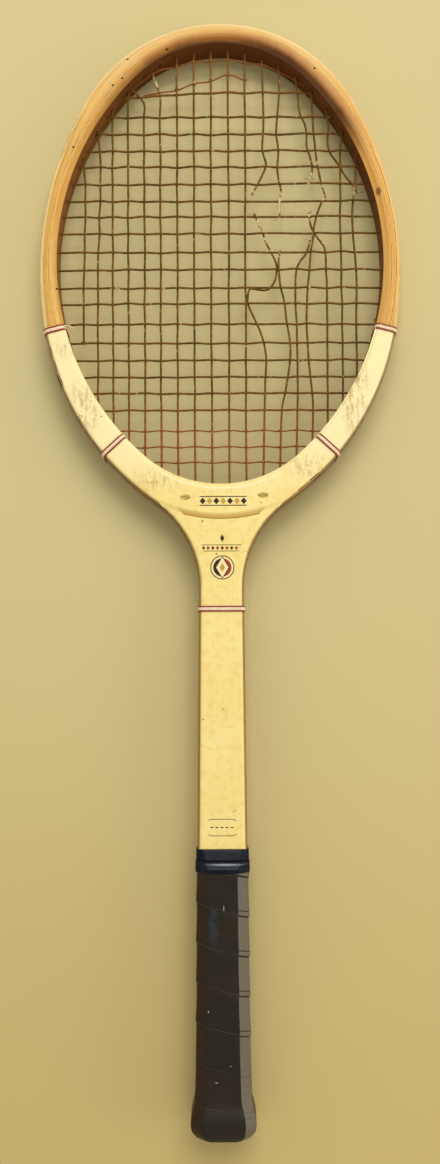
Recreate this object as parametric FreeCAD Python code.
import FreeCAD, Part
import math
import os

from FreeCAD import Vector

# A laminated wooden tennis racket. X is across the face, +Y runs from the butt to the tip of the
# head, +Z is up out of the hitting face. The origin is the middle of the butt's flat end.

# ---------------------------------------------------------------- driving dimensions, mm and degrees
LENGTH = 685.8
HOOP_DEPTH = 18.6
SHAFT_DEPTH = 16.8

# Tangent arcs (radius, sweep) of one half, from the tip clockwise. A negative radius bends outward.
INSIDE_TIP = 673.1
INSIDE_TOP = (75.0, 44.0)
INSIDE_SIDE = (158.1, 94.0)
OUTSIDE_ARCS = [(95.3, 59.8), (211.5, 39.4), (162.0, 45.9), (-63.9, 55.65)]

PLY = 2.2
INNER_PLY = 2.2
BOW_WIDTH = 21.3
BOW_SLOPE = 3.5
# The bare hoop above the shoulders is crowned. Below them the face is flat, with smaller rounds.
CROWN_OUTSIDE = 5.4
CROWN_INSIDE = 4.8
OUTSIDE_ROUND = 3.4
INSIDE_ROUND = 3.0
SHAFT_ROUND = 3.0
SHOULDER_ANGLE = 104.4
LOWER_BINDING_ANGLE = 132.2
BOW_HALF_ANGLE = 35.0

SHAFT_TOP = 330.0
HANDLE_TOP = 177.0
BLANK_END = 1.8

STRING = 1.3
TREBLE = 0.9
HOLE = 2.2
GROOVE_WIDTH = 4.8
GROOVE_DEPTH = 1.9
GROOVE_LINE = 1.0
GROOVE_END = 358.0
LAYER = 0.68
CORNER = 1.2
THROAT_FAN = 23.0
RIM_CLEAR = 1.0

MAINS = 18
MAIN_SPACING = 10.6
MAIN_CROWDING = 0.0088
CROSS_ROWS = [646.5, 631.7, 621.2, 610.6, 600.7, 590.1, 579.6, 569.9, 559.5, 547.9,
              536.7, 525.5, 515.6, 502.8, 491.4, 480.8, 470.2, 460.1, 449.5]
LOWER_TREBLE_ROWS = [436.7, 426.7, 417.1]
TREBLE_WAVE = 0.6
TREBLE_EDGE = 4.0
# Left and right hole of the first row at the top, then how both of its rows hang from their peaks.
TOP_TREBLE_HOLES = (650.2, 650.8)
FIRST_ROW = (666.8, 0.0048)
SECOND_ROW = (657.5, 0.26, 6.0)

BINDING_PROUD = 0.7
RED_INSET = 0.1
RED_BAND = 1.0
WHITE_BAND = 1.7
SHAFT_BINDING_Y = 325.7

LEATHER = 1.7
BEVEL = 6.8
WOOD_BEVEL = 6.2
# Outside of the leather: distance from the butt, half width, half depth.
GRIP_SECTIONS = [(1.2, 16.9, 15.2), (3.4, 19.4, 17.8), (7.5, 20.5, 19.0), (12.5, 20.6, 19.0),
                 (18.0, 19.4, 17.4), (24.0, 17.9, 15.4), (48.0, 17.2, 14.9), (87.0, 16.6, 14.6),
                 (166.5, 16.1, 14.1)]
FLARE_TOP = 24.0
COLLAR_FOOT = 164.0
TAPE = 0.65
# Outside of the upper turn of tape: distance from the butt, half width, half depth, bevel.
COLLAR_STEP = (171.0, 16.3, 11.3, 5.0)
COLLAR_TOP = (178.2, 16.2, 9.1, 3.2)
COLLAR_LAP = 0.4
HANDLE_SPREAD = 1.2
HANDLE_TOP_BEVEL = 3.0
DISC = (14.5, 12.8)
TACK_SPACING = 14.0
TACK_HEAD = (2.2, 1.1)
TACK_SHANK = (0.7, 11.0)
TACK_SUNK = 0.3

# Reaches of the cutting shapes, which only have to clear the wood.
CLEAR = 1.0
WIDE = 200.0
DEEP = 20.0
BEYOND_TIP = 720.0
RAY = 90.0
SEAM_OVERLAP = 0.2
TOUCH = 1e-6

# How finely strings follow the groove, and how tightly they bend.
GROOVE_STEP = 9.0
MATCH_STEP = 0.5
LEAST_BEND = 0.8
BEND_SHARE = 0.45
HALVINGS = 60

# Where the broken mains lie: upper pieces from the top down, lower pieces from the broken end down.
UPPER_ENDS = {12: [(27.3, 634), (27.5, 624), (26.7, 612), (28.4, 602), (25.7, 592), (20.5, 585)],
              13: [(37.2, 646), (35.4, 623), (35.7, 602), (37.5, 589), (37.5, 581), (36.9, 570)],
              14: [(48.8, 643), (50.4, 632), (52.8, 624), (53.8, 614), (56.5, 598)],
              16: [(66.9, 625), (67.0, 617), (67.8, 611), (72.6, 603.5)]}
LOWER_ENDS = {12: [(20.0, 575), (22.2, 568), (25.1, 562), (27.8, 553), (31.2, 547), (34.0, 540),
                   (33.6, 534), (31.0, 527), (25.5, 523.5), (20.0, 523), (18.0, 517), (21.5, 504),
                   (26.3, 494), (28.4, 481), (27.6, 462)],
              13: [(36.8, 548), (36.6, 537), (37.8, 526), (40.6, 510), (43.2, 492), (43.2, 480),
                   (40.5, 462), (37.9, 448)],
              14: [(52.0, 544), (48.6, 539), (47.0, 531), (46.8, 518), (47.5, 500), (47.9, 460)],
              16: [(62.0, 553), (65.4, 546), (65.5, 535), (66.3, 515), (66.5, 480)]}
SLACK_MAIN = {15: [(57.3, 455), (55.8, 470), (54.2, 490), (53.6, 505), (54.4, 525), (55.5, 540),
                   (57.2, 557), (59.9, 571), (64.0, 580.5), (62.2, 592), (60.2, 603), (58.4, 622)]}
LOOSE_MAIN_END = 494.0
LOOSE_RUN = 9.0


# ---------------------------------------------------------------- outlines
def outward(heading):
    """Unit normal on the outer side of a curve that travels at this heading, in degrees."""
    angle = math.radians(heading)
    return Vector(math.sin(angle), math.cos(angle), 0)


class ArcChain:
    """Tangent arcs in the XY plane, starting on the Y axis heading along +X and turning clockwise."""

    def __init__(self, tip, arcs, shift=0.0):
        self.arcs = []
        point = Vector(0, tip + shift, 0)
        heading = 0.0
        for radius, sweep in arcs:
            grown = radius + shift
            centre = point - outward(heading) * grown
            turn = math.copysign(sweep, radius)
            self.arcs.append((centre, grown, heading, turn))
            heading += turn
            point = centre + outward(heading) * grown
        self.end = point
        self.heading = heading

    def edges(self):
        """The arcs as edges."""
        made = []
        for centre, radius, heading, turn in self.arcs:
            places = [centre + outward(heading + turn * part) * radius for part in (0.0, 0.5, 1.0)]
            made.append(Part.Arc(*places).toShape())
        return made

    def at_heading(self, wanted):
        """The point where a chain that only turns one way has this heading."""
        for centre, radius, heading, turn in self.arcs:
            if wanted <= heading + turn + TOUCH:
                break
        return centre + outward(wanted) * radius

    def at_length(self, length):
        """The point this far along the chain."""
        for centre, radius, heading, turn in self.arcs:
            arc = abs(radius * math.radians(turn))
            if length <= arc:
                break
            length -= arc
        return centre + outward(heading + turn * length / arc) * radius

    def total(self):
        """Length of the whole chain."""
        return sum(abs(radius * math.radians(turn)) for _, radius, _, turn in self.arcs)

    def nearest_length(self, point):
        """How far along the chain its closest point lies."""
        stations = [MATCH_STEP * step for step in range(int(self.total() / MATCH_STEP) + 1)]
        return min(stations, key=lambda s: self.at_length(s).distanceToPoint(point))


def closing_radius():
    """Radius of the bottom arc that brings the half oval back to the Y axis."""
    (top, sweep), (side, side_sweep) = INSIDE_TOP, INSIDE_SIDE
    first = math.sin(math.radians(sweep))
    second = math.sin(math.radians(sweep + side_sweep))
    return (top * first + side * (second - first)) / second


def inside_chain(outset=0.0):
    """Right half of the head opening, grown outwards."""
    bottom = (closing_radius(), 180.0 - INSIDE_TOP[1] - INSIDE_SIDE[1])
    return ArcChain(INSIDE_TIP, [INSIDE_TOP, INSIDE_SIDE, bottom], outset)


def outside_chain(inset=0.0):
    """Right half of the frame's outline, down to the top of the shaft."""
    return ArcChain(LENGTH, OUTSIDE_ARCS, -inset)


def mirrored(shape):
    """The same shape on the left side."""
    return shape.mirror(Vector(0, 0, 0), Vector(1, 0, 0))


def closed_wire(half_edges, extra=()):
    """A wire of these edges, their mirror images and the extra edges."""
    edges = list(half_edges) + [mirrored(edge) for edge in half_edges] + list(extra)
    return Part.Wire(Part.__sortEdges__(edges))


def opening_wire(outset=0.0):
    """The head opening, grown outwards."""
    return closed_wire(inside_chain(outset).edges())


def frame_wire(inset=0.0):
    """The frame's outline, shrunk inwards, closed across the butt."""
    chain = outside_chain(inset)
    along = Vector(math.cos(math.radians(chain.heading)), -math.sin(math.radians(chain.heading)), 0)
    foot = chain.end + along * ((chain.end.y - BLANK_END) / -along.y)
    side = Part.makeLine(chain.end, foot)
    across = Part.makeLine(foot, Vector(-foot.x, foot.y, 0))
    return closed_wire(chain.edges() + [side], [across])


def prism(wire, depth):
    """The area inside a wire, centred on the string plane."""
    return Part.Face(wire).extrude(Vector(0, 0, depth)).translated(Vector(0, 0, -depth / 2))


def block(x, y, z):
    """A box from its (low, high) pair along each axis."""
    return Part.makeBox(x[1] - x[0], y[1] - y[0], z[1] - z[0], Vector(x[0], y[0], z[0]))


def flat_edges(solid, height):
    """The edges of a solid that lie in the planes z = height and z = -height."""
    def level(edge):
        box = edge.BoundBox
        return box.ZLength < TOUCH and abs(abs(box.ZMin) - height) < TOUCH
    return [edge for edge in solid.Edges if level(edge)]


def outline_edges(solid, height):
    """The flat edges of the frame's outline, without the short ones across the butt."""
    return [edge for edge in flat_edges(solid, height) if edge.BoundBox.YMax > BLANK_END + CLEAR]


# ---------------------------------------------------------------- the frame's outer form
def rounded_hoop(outside_round, inside_round):
    """The whole frame's outline at the hoop's depth, with the head opening and rounded edges."""
    half = HOOP_DEPTH / 2
    body = prism(frame_wire(), HOOP_DEPTH)
    body = body.makeFillet(outside_round, outline_edges(body, half))
    body = body.cut(prism(opening_wire(), HOOP_DEPTH + CLEAR))
    rim = [edge for edge in flat_edges(body, half) if on_opening(edge)]
    return body.makeFillet(inside_round, rim)


def hoop_form():
    """The hoop, crowned above the shoulders. Below the bow it slopes down to the wedge."""
    crowned = rounded_hoop(CROWN_OUTSIDE, CROWN_INSIDE).common(upper_zone())
    plain = rounded_hoop(OUTSIDE_ROUND, INSIDE_ROUND).cut(upper_zone())
    return crowned.fuse(plain).common(bow_zone())


def on_opening(edge):
    """Whether a flat edge lies on the head opening."""
    middle = edge.valueAt((edge.FirstParameter + edge.LastParameter) / 2)
    gap = Part.Vertex(Vector(middle.x, middle.y, 0)).distToShape(opening_wire())[0]
    return gap < 0.01


def bow_zone():
    """What lies within the bow's width of the opening, sloping down towards that edge."""
    low = SHAFT_DEPTH / 2 - SEAM_OVERLAP
    high = HOOP_DEPTH / 2 + SEAM_OVERLAP / 2
    inner = opening_wire(BOW_WIDTH - BOW_SLOPE)
    outer = opening_wire(BOW_WIDTH)
    zone = prism(outer, 2 * low)
    for side in (1, -1):
        base = outer.translated(Vector(0, 0, side * low))
        top = inner.translated(Vector(0, 0, side * high))
        zone = zone.fuse(Part.makeLoft([base, top], True, True))
    return zone


def shaft_form():
    """Throat, shaft and the blank inside the handle, at the shaft's depth with rounded edges."""
    body = prism(frame_wire(), SHAFT_DEPTH)
    body = body.makeFillet(SHAFT_ROUND, outline_edges(body, SHAFT_DEPTH / 2))
    body = body.cut(prism(opening_wire(), HOOP_DEPTH))
    top = block((-WIDE, WIDE), (HANDLE_TOP, BEYOND_TIP), (-DEEP, DEEP))
    return body.common(top.fuse(handle_form(0)).removeSplitter())


def octagon(y, half_width, half_depth, bevel):
    """A bevelled rectangle square to the handle."""
    corners = []
    for sx, sz in ((1, 1), (-1, 1), (-1, -1), (1, -1)):
        flat = Vector(sx * (half_width - bevel), y, sz * half_depth)
        side = Vector(sx * half_width, y, sz * (half_depth - bevel))
        corners += [side, flat] if sx * sz > 0 else [flat, side]
    return Part.makePolygon(corners + corners[:1])


def handle_form(flat_bottom):
    """Bevelled handle with its pallets. They run out to the shaft at the top."""
    sections = [(y, w - LEATHER, d - LEATHER) for y, w, d in GRIP_SECTIONS if y >= FLARE_TOP]
    sections.insert(0, (flat_bottom, sections[0][1], sections[0][2]))
    wires = [octagon(y, w, d, WOOD_BEVEL) for y, w, d in sections]
    top = (sections[-1][1] + HANDLE_SPREAD, (SHAFT_DEPTH - SEAM_OVERLAP) / 2)
    wires.append(octagon(HANDLE_TOP, *top, HANDLE_TOP_BEVEL))
    return Part.makeLoft(wires, True, True)


# ---------------------------------------------------------------- string holes and paths
def solve(function, low, high):
    """Where a falling or rising function is zero between two limits, by halving."""
    rising = function(high) > function(low)
    for _ in range(HALVINGS):
        middle = (low + high) / 2
        if (function(middle) > 0) == rising:
            high = middle
        else:
            low = middle
    return (low + high) / 2


def ray_to_line(point, direction, line):
    """Where a ray first meets a wire."""
    ray = Part.makeLine(point, point + direction * RAY)
    hits = [v.Point for v in ray.section(line).Vertexes]
    return min(hits, key=lambda hit: hit.distanceToPoint(point))


class Drill:
    """One string hole: where it opens on the rim, its direction, and where it meets the groove."""

    def __init__(self, angle, side, level, rim, groove):
        direction = outward(angle)
        edge = rim.at_heading(angle)
        if angle > 180 - THROAT_FAN:
            direction = outward(180 - THROAT_FAN)
        exit_point = ray_to_line(edge, direction, groove)
        self.side = side
        self.mouth = self.place(edge - direction * RIM_CLEAR, level)
        self.exit = self.place(exit_point, level)

    def place(self, point, level):
        """A point of the right half moved to this hole's side and level."""
        return Vector(point.x * self.side, point.y, level)

    def tool(self):
        """The drill that makes the hole."""
        way = self.exit - self.mouth
        way.normalize()
        depth = self.mouth.distanceToPoint(self.exit) + 2 * GROOVE_DEPTH
        return Part.makeCylinder(HOLE / 2, depth, self.mouth, way)


def main_x(number):
    """Distance of a main string from the centre line. The outer ones stand closer together."""
    place = number - (MAINS + 1) / 2
    return MAIN_SPACING * place - MAIN_CROWDING * place ** 3


def main_drills(rim, groove):
    """Top and bottom hole of every main string, by number."""
    top, bottom = {}, {}
    for number in range(1, MAINS + 1):
        x = main_x(number)
        side = 1 if x > 0 else -1
        upper = solve(lambda a: rim.at_heading(a).x - abs(x), 0, 90)
        lower = solve(lambda a: rim.at_heading(a).x - abs(x), 90, 180)
        top[number] = Drill(upper, side, LAYER, rim, groove)
        bottom[number] = Drill(lower, side, LAYER, rim, groove)
    return top, bottom


def row_drills(rows, rim, groove):
    """Left and right hole of every cross row."""
    drills = []
    for y in rows:
        angle = solve(lambda a: rim.at_heading(a).y - y, 0, 180)
        drills.append([Drill(angle, side, -LAYER, rim, groove) for side in (-1, 1)])
    return drills


def along_groove(first, second, chain):
    """Points from one hole's exit to the next one's, in the groove."""
    start = chain.nearest_length(Vector(abs(first.exit.x), first.exit.y, 0))
    end = chain.nearest_length(Vector(abs(second.exit.x), second.exit.y, 0))
    if first.side != second.side:
        start = -start
    steps = max(1, round(abs(end - start) / GROOVE_STEP))
    points = []
    for step in range(1, steps):
        length = start + (end - start) * step / steps
        point = chain.at_length(abs(length))
        side = second.side if length > 0 else first.side
        points.append(Vector(point.x * side, point.y, first.exit.z))
    return [first.exit] + points + [second.exit]


def bent_wire(points):
    """Straight runs joined by tangent arcs."""
    edges = []
    last = points[0]
    for before, corner, after in zip(points, points[1:], points[2:]):
        back, on = before - corner, after - corner
        half_turn = (math.pi - back.getAngle(on)) / 2
        room = BEND_SHARE * min(back.Length, on.Length)
        reach = min(room, max(CORNER * math.tan(half_turn), LEAST_BEND))
        back.normalize()
        on.normalize()
        start, end = corner + back * reach, corner + on * reach
        bisector = back + on
        bisector.normalize()
        radius = reach / math.tan(half_turn)
        middle = corner + bisector * (radius / math.cos(half_turn) - radius)
        edges.append(Part.makeLine(last, start))
        edges.append(Part.Arc(start, middle, end).toShape())
        last = end
    edges.append(Part.makeLine(last, points[-1]))
    return Part.Wire(edges)


def string_solid(points, diameter):
    """A round string along a bent path."""
    path = bent_wire(points)
    circle = Part.Circle(points[0], points[1] - points[0], diameter / 2).toShape()
    solid = path.makePipeShell([Part.Wire(circle)], True, False)
    expected = math.pi * diameter ** 2 / 4 * path.Length
    print("string", round(path.Length), "mm long, volume ratio", round(solid.Volume / expected, 3))
    return solid


# ---------------------------------------------------------------- strings
def on_layer(points, level=LAYER):
    """Points in the plane of one layer of the string bed."""
    return [Vector(x, y, level) for x, y in points]


def main_run(numbers, drills, chain, start=(), finish=()):
    """Path of one string over several mains. Odd mains run up the head and even ones down it."""
    top, bottom = drills
    path = []
    left = None
    for number in numbers:
        enter, leave = (bottom, top) if number % 2 else (top, bottom)
        enter, leave = enter[number], leave[number]
        way_in = [enter.exit, enter.mouth]
        if left:
            way_in = along_groove(left, enter, chain) + [enter.mouth]
        elif start:
            way_in = on_layer(start)
        if left:
            path.pop()
        path += way_in + on_layer(SLACK_MAIN.get(number, ()))
        if number == numbers[-1] and finish:
            return path + on_layer(finish)
        path += [leave.mouth, leave.exit]
        left = leave
    return path


def main_strings(drills, chain):
    """The main string in the five lengths it has broken into."""
    up = {number: points[::-1] for number, points in UPPER_ENDS.items()}
    up_from_low = {number: points[::-1] for number, points in LOWER_ENDS.items()}
    loose = [(main_x(1), LOOSE_MAIN_END), (main_x(1), LOOSE_MAIN_END + LOOSE_RUN)]
    paths = {
        "main_string": main_run(range(1, 13), drills, chain, loose, UPPER_ENDS[12]),
        "main_string_lower_piece": main_run([12, 13], drills, chain, LOWER_ENDS[12], up_from_low[13]),
        "main_string_upper_piece": main_run([13, 14], drills, chain, up[13], UPPER_ENDS[14]),
        "main_string_slack_piece": main_run([14, 15, 16], drills, chain, LOWER_ENDS[14], UPPER_ENDS[16]),
        "main_string_right_piece": main_run([16, 17, 18], drills, chain, LOWER_ENDS[16]),
    }
    return {name: string_solid(path, STRING) for name, path in paths.items()}


def row_run(drills, chain):
    """Path of one string over several cross rows, from side to side."""
    path = []
    last = None
    for index, (left, right) in enumerate(drills):
        enter, leave = (left, right) if index % 2 == 0 else (right, left)
        if last:
            path.pop()
            path += along_groove(last, enter, chain)
        else:
            path.append(enter.exit)
        path += [enter.mouth, leave.mouth, leave.exit]
        last = leave
    return path


def zigzag(first, last, height_at):
    """A decorative row that steps up and down between the mains it passes."""
    return [(main_x(n), height_at(n) + TREBLE_WAVE * (-1) ** n) for n in range(first, last + 1)]


def upper_treble_row(number):
    """Height of the first decorative row at a main: highest in the middle, lower at the sides."""
    peak, fall = FIRST_ROW
    return peak - fall * main_x(number) ** 2


def second_treble_row(number):
    """Height of the second decorative row at a main: straight up to its peak and down again."""
    peak, slope, middle = SECOND_ROW
    return peak - slope * abs(main_x(number) - middle)


def top_treble(drills):
    """The two decorative rows at the top of the head."""
    left, right = drills
    row = on_layer(zigzag(6, 13, upper_treble_row), -LAYER)
    first = string_solid([left.exit, left.mouth] + row + [right.mouth, right.exit], TREBLE)
    second = string_solid(on_layer(zigzag(7, 11, second_treble_row), -LAYER), TREBLE)
    return Part.makeCompound([first, second])


def bottom_treble(drills, chain):
    """The decorative rows at the bottom of the head, one thin string in three rows."""
    path = []
    plain = row_run(drills, chain)
    inner = [d.mouth for pair in drills for d in pair]
    rows = []
    for left, right in drills:
        reach = range(1, MAINS + 1)
        between = [n for n in reach if left.mouth.x + TREBLE_EDGE < main_x(n) < right.mouth.x - TREBLE_EDGE]
        rows.append(on_layer(zigzag(between[0], between[-1], lambda n, y=left.mouth.y: y), -LAYER))
    for point, following in zip(plain, plain[1:] + [None]):
        path.append(point)
        if point in inner and following in inner:
            row = min(rows, key=lambda r: abs(r[0].y - point.y))
            path += row if point.x < 0 else row[::-1]
    return string_solid(path, TREBLE)


# ---------------------------------------------------------------- wood pieces
def station_line(angle):
    """A line square across the hoop where the rim has this heading: its inner and outer end."""
    point = inside_chain().at_heading(angle)
    return point - outward(angle) * BOW_WIDTH, point + outward(angle) * 3 * BOW_WIDTH


def upper_zone():
    """Everything on the tip side of the two shoulders."""
    inner, outer = station_line(SHOULDER_ANGLE)
    corners = [Vector(WIDE, BEYOND_TIP, 0), outer, inner]
    return symmetric_prism(corners)


def bow_plan():
    """The bottom of the head between the shoulders, ahead of the wedge."""
    inner, outer = station_line(180 - BOW_HALF_ANGLE)
    return symmetric_prism([inner, outer])


def symmetric_prism(right_corners):
    """A prism from the corners of its right side and their mirror images."""
    left = [Vector(-corner.x, corner.y, 0) for corner in reversed(right_corners)]
    return prism(Part.makePolygon(right_corners + left + right_corners[:1]), HOOP_DEPTH + 2 * CLEAR)


def ring(outer, inner):
    """The prism between two wires."""
    return prism(outer, HOOP_DEPTH + CLEAR).cut(prism(inner, HOOP_DEPTH + 2 * CLEAR))


def wood_regions():
    """Plan of every piece of wood in the hoop and the blank, before it is shaped and drilled."""
    regions = {
        "outer_ply": ring(frame_wire(), frame_wire(PLY)),
        "second_ply": ring(frame_wire(PLY), frame_wire(2 * PLY)),
        "third_ply": ring(frame_wire(2 * PLY), frame_wire(3 * PLY)),
        "inner_ply": ring(opening_wire(INNER_PLY), opening_wire()),
    }
    packing = ring(frame_wire(3 * PLY), opening_wire(INNER_PLY))
    bow_edge = prism(opening_wire(BOW_WIDTH), HOOP_DEPTH + 2 * CLEAR)
    below = packing.cut(bow_edge)
    around = packing.common(bow_edge)
    shaft = block((-WIDE, WIDE), (0, SHAFT_TOP), (-DEEP, DEEP))
    regions["shaft_core"] = below.common(shaft)
    regions["throat_wedge"] = below.cut(shaft)
    regions["head_core"] = around.common(upper_zone())
    regions["throat_bow"] = around.common(bow_plan())
    shoulders = around.cut(upper_zone()).cut(bow_plan())
    for side, reach in (("left", (-WIDE, 0)), ("right", (0, WIDE))):
        half = block(reach, (0, BEYOND_TIP), (-DEEP, DEEP))
        regions["shoulder_packing_" + side] = shoulders.common(half)
    return regions


def string_groove():
    """The groove round the outside of the hoop that holds the string loops."""
    floor = prism(frame_wire(GROOVE_DEPTH), GROOVE_WIDTH + CLEAR)
    band = prism(frame_wire(-3 * CLEAR), GROOVE_WIDTH).cut(floor)
    return band.common(block((-WIDE, WIDE), (GROOVE_END, BEYOND_TIP), (-DEEP, DEEP)))


def wood_pieces(form, tools):
    """Every piece of wood in the hoop and blank, shaped, drilled and grooved."""
    pieces = {}
    for name, region in wood_regions().items():
        reach = region.BoundBox
        near = [tool for tool in tools if tool.BoundBox.intersect(reach)]
        pieces[name] = region.common(form).cut(near)
    return pieces


def pallets():
    """The slabs glued on the front and back of the blank to make up the handle."""
    form = handle_form(BLANK_END)
    face = SHAFT_DEPTH / 2
    return {
        "front_pallet": form.common(block((-WIDE, WIDE), (0, HANDLE_TOP), (face, DEEP))),
        "back_pallet": form.common(block((-WIDE, WIDE), (0, HANDLE_TOP), (-DEEP, -face))),
    }


# ---------------------------------------------------------------- handle covering
def grip_loft(shrink, sections, bevel):
    """A bevelled form through grip sections, shrunk by the leather's thickness or not at all."""
    wires = [octagon(y, w - shrink, d - shrink, bevel) for y, w, d in sections]
    return Part.makeLoft(wires, True, True)


def butt_flare():
    """The block that swells the end of the handle."""
    sections = [(max(y, BLANK_END), w, d) for y, w, d in GRIP_SECTIONS if y <= FLARE_TOP]
    return grip_loft(LEATHER, sections, WOOD_BEVEL).cut(handle_form(0))


def butt_disc():
    """The leather disc on the flat end, with the tacks' recesses."""
    plate = octagon(0, DISC[0], DISC[1], WOOD_BEVEL)
    disc = Part.Face(plate).extrude(Vector(0, BLANK_END, 0))
    return disc.cut(butt_tacks(True))


def butt_tacks(recess=False):
    """Two flat-headed tacks through the disc into the blank, or the recesses that they sit in."""
    tacks = []
    (head_radius, head_foot), (shank_radius, shank_length) = TACK_HEAD, TACK_SHANK
    for side in (-1, 1):
        start = Vector(side * TACK_SPACING / 2, 0.0 if recess else TACK_SUNK, 0)
        head = Part.makeCylinder(head_radius, head_foot - start.y, start, Vector(0, 1, 0))
        foot = Vector(start.x, head_foot, 0)
        tacks.append(head.fuse(Part.makeCylinder(shank_radius, shank_length, foot, Vector(0, 1, 0))))
    return Part.makeCompound(tacks)


def leather_grip(wood):
    """The leather over the handle and the flare."""
    grip = grip_loft(0, GRIP_SECTIONS, BEVEL)
    disc = Part.Face(octagon(0, DISC[0], DISC[1], WOOD_BEVEL)).extrude(Vector(0, BLANK_END, 0))
    return grip.cut(wood + [disc])


def collar_tapes(inside):
    """The two turns of glossy tape that bind the top of the leather to the shaft."""
    leather_end, half_width, half_depth = GRIP_SECTIONS[-1]
    around = (half_width + TAPE, half_depth + TAPE, BEVEL)
    step, width, depth, bevel = COLLAR_STEP
    lap = (width + COLLAR_LAP, depth + COLLAR_LAP, bevel)
    lower = [octagon(COLLAR_FOOT, *around), octagon(leather_end, *around), octagon(step, *lap)]
    upper = [octagon(*COLLAR_STEP), octagon(*COLLAR_TOP)]
    return {"collar_tape_lower": Part.makeLoft(lower, True, True).cut(inside),
            "collar_tape_upper": Part.makeLoft(upper, True, True).cut(inside)}


# ---------------------------------------------------------------- thread bindings
def thread_band(length, low, high, half_depth, centre):
    """A rounded slab across a member: from low to high, this long, centred at a place along it."""
    slab = block((low, high), (centre - length / 2, centre + length / 2), (-half_depth, half_depth))
    edges = [e for e in slab.Edges if e.BoundBox.YLength > length / 2]
    return slab.makeFillet(OUTSIDE_ROUND + BINDING_PROUD / 2, edges)


def binding(low, high, half_depth, placement, wood):
    """One binding: a white band between two red ones, wound tight on the wood."""
    offset = (WHITE_BAND + RED_BAND) / 2
    proud = BINDING_PROUD
    bands = {"white": thread_band(WHITE_BAND, low - proud, high + proud, half_depth + proud, 0)}
    lower = proud - RED_INSET
    reds = [thread_band(RED_BAND, low - lower, high + lower, half_depth + lower, place)
            for place in (-offset, offset)]
    bands["red"] = Part.makeCompound(reds)
    for colour, band in bands.items():
        band.Placement = placement
        bands[colour] = Part.makeCompound([solid.cut(wood) for solid in band.Solids])
    return bands


def all_bindings(wood):
    """The five bindings, two pieces each."""
    pieces = {}
    outline = frame_wire()
    for name, angle in (("shoulder", SHOULDER_ANGLE), ("lower", LOWER_BINDING_ANGLE)):
        point = inside_chain().at_heading(angle)
        width = point.distanceToPoint(ray_to_line(point, outward(angle), outline))
        spin = FreeCAD.Rotation(Vector(0, 0, 1), 90 - angle)
        made = binding(0, width, HOOP_DEPTH / 2, FreeCAD.Placement(point, spin), wood)
        for colour, band in made.items():
            pieces[name + "_binding_right_" + colour] = band
            pieces[name + "_binding_left_" + colour] = mirrored(band)
    shaft = ray_to_line(Vector(0, SHAFT_BINDING_Y, 0), Vector(1, 0, 0), outline).x
    place = FreeCAD.Placement(Vector(0, SHAFT_BINDING_Y, 0), FreeCAD.Rotation())
    for colour, band in binding(-shaft, shaft, SHAFT_DEPTH / 2, place, wood).items():
        pieces["shaft_binding_" + colour] = band
    return pieces


# ---------------------------------------------------------------- the racket
def check(name, shape):
    """Say so if a piece is not made of closed, valid solids."""
    solids = shape.Solids
    good = solids and all(solid.isValid() and solid.isClosed() for solid in solids)
    print(name, len(solids), "solid(s)", round(shape.Volume), "mm3", "" if good else "NOT GOOD")


def write(name, shape):
    """One STEP file for one node."""
    check(name, shape)
    solids = shape.Solids
    kept = solids[0] if len(solids) == 1 else Part.makeCompound(solids)
    kept.exportStep("parts/" + name + ".step")


def main():
    """Build every node."""
    os.makedirs("parts", exist_ok=True)
    rim = inside_chain()
    groove_wire = Part.Wire(Part.__sortEdges__(outside_chain(GROOVE_LINE).edges()))
    groove_chain = outside_chain(GROOVE_LINE)
    mains = main_drills(rim, groove_wire)
    crosses = row_drills(CROSS_ROWS, rim, groove_wire)
    low_rows = row_drills(LOWER_TREBLE_ROWS, rim, groove_wire)
    (top_left, _), (_, top_right) = row_drills(TOP_TREBLE_HOLES, rim, groove_wire)
    top_row = [top_left, top_right]
    drills = list(mains[0].values()) + list(mains[1].values()) + top_row
    drills += [drill for pair in crosses + low_rows for drill in pair]
    tools = [drill.tool() for drill in drills] + [string_groove(), butt_tacks()]

    form = hoop_form().fuse(shaft_form()).removeSplitter()
    pieces = wood_pieces(form, tools)
    pieces.update(pallets())
    pieces["butt_flare"] = butt_flare()
    handle = [handle_form(0), pieces["butt_flare"]]
    pieces["leather_grip"] = leather_grip(handle)
    pieces["butt_end_disc"] = butt_disc()
    pieces["butt_tacks"] = butt_tacks()
    pieces.update(collar_tapes([form, handle_form(0), pieces["leather_grip"]]))
    pieces.update(all_bindings([form]))
    pieces.update(main_strings(mains, groove_chain))
    pieces["cross_string"] = string_solid(row_run(crosses, groove_chain), STRING)
    pieces["top_trebling"] = top_treble(top_row)
    pieces["bottom_trebling"] = bottom_treble(low_rows, groove_chain)
    for name, shape in pieces.items():
        write(name, shape)


main()
